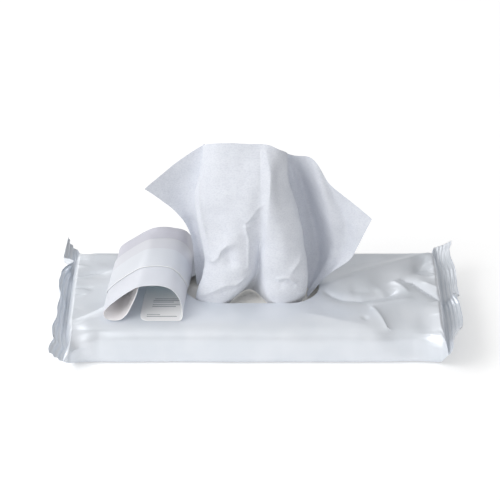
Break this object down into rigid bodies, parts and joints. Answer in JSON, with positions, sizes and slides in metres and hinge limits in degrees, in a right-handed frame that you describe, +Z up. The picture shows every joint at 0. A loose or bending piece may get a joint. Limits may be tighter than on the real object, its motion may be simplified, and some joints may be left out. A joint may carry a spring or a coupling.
{
  "type": "pack of cleanroom wipes",
  "caption": "Soft flow-wrapped pack of folded cleanroom wipes, its resealable label peeled back and curled and the first wipe drawn out of the opening.",
  "frame": {"origin": "centre of the base, on the underside of the bottom fin seal that the pack lies on", "axes": "+X along the pack towards the end away from the label, +Z up out of the opening, -Y towards the front long side"},
  "size_m": [0.3174, 0.1492, 0.1621],
  "materials": {
    "pouch_film": "soft gloss laminate film",
    "stacked_wipes": "damp nonwoven",
    "drawn_wipe": "damp nonwoven",
    "label_film": "soft gloss label film",
    "flap_film": "soft gloss laminate film"
  },
  "bodies": {
    "root": {"pouch": "pouch_film", "wipe_stack": "stacked_wipes", "drawn_wipe": "drawn_wipe", "reseal_label": "label_film", "die_cut_flap": "flap_film"}
  },
  "joints": []
}
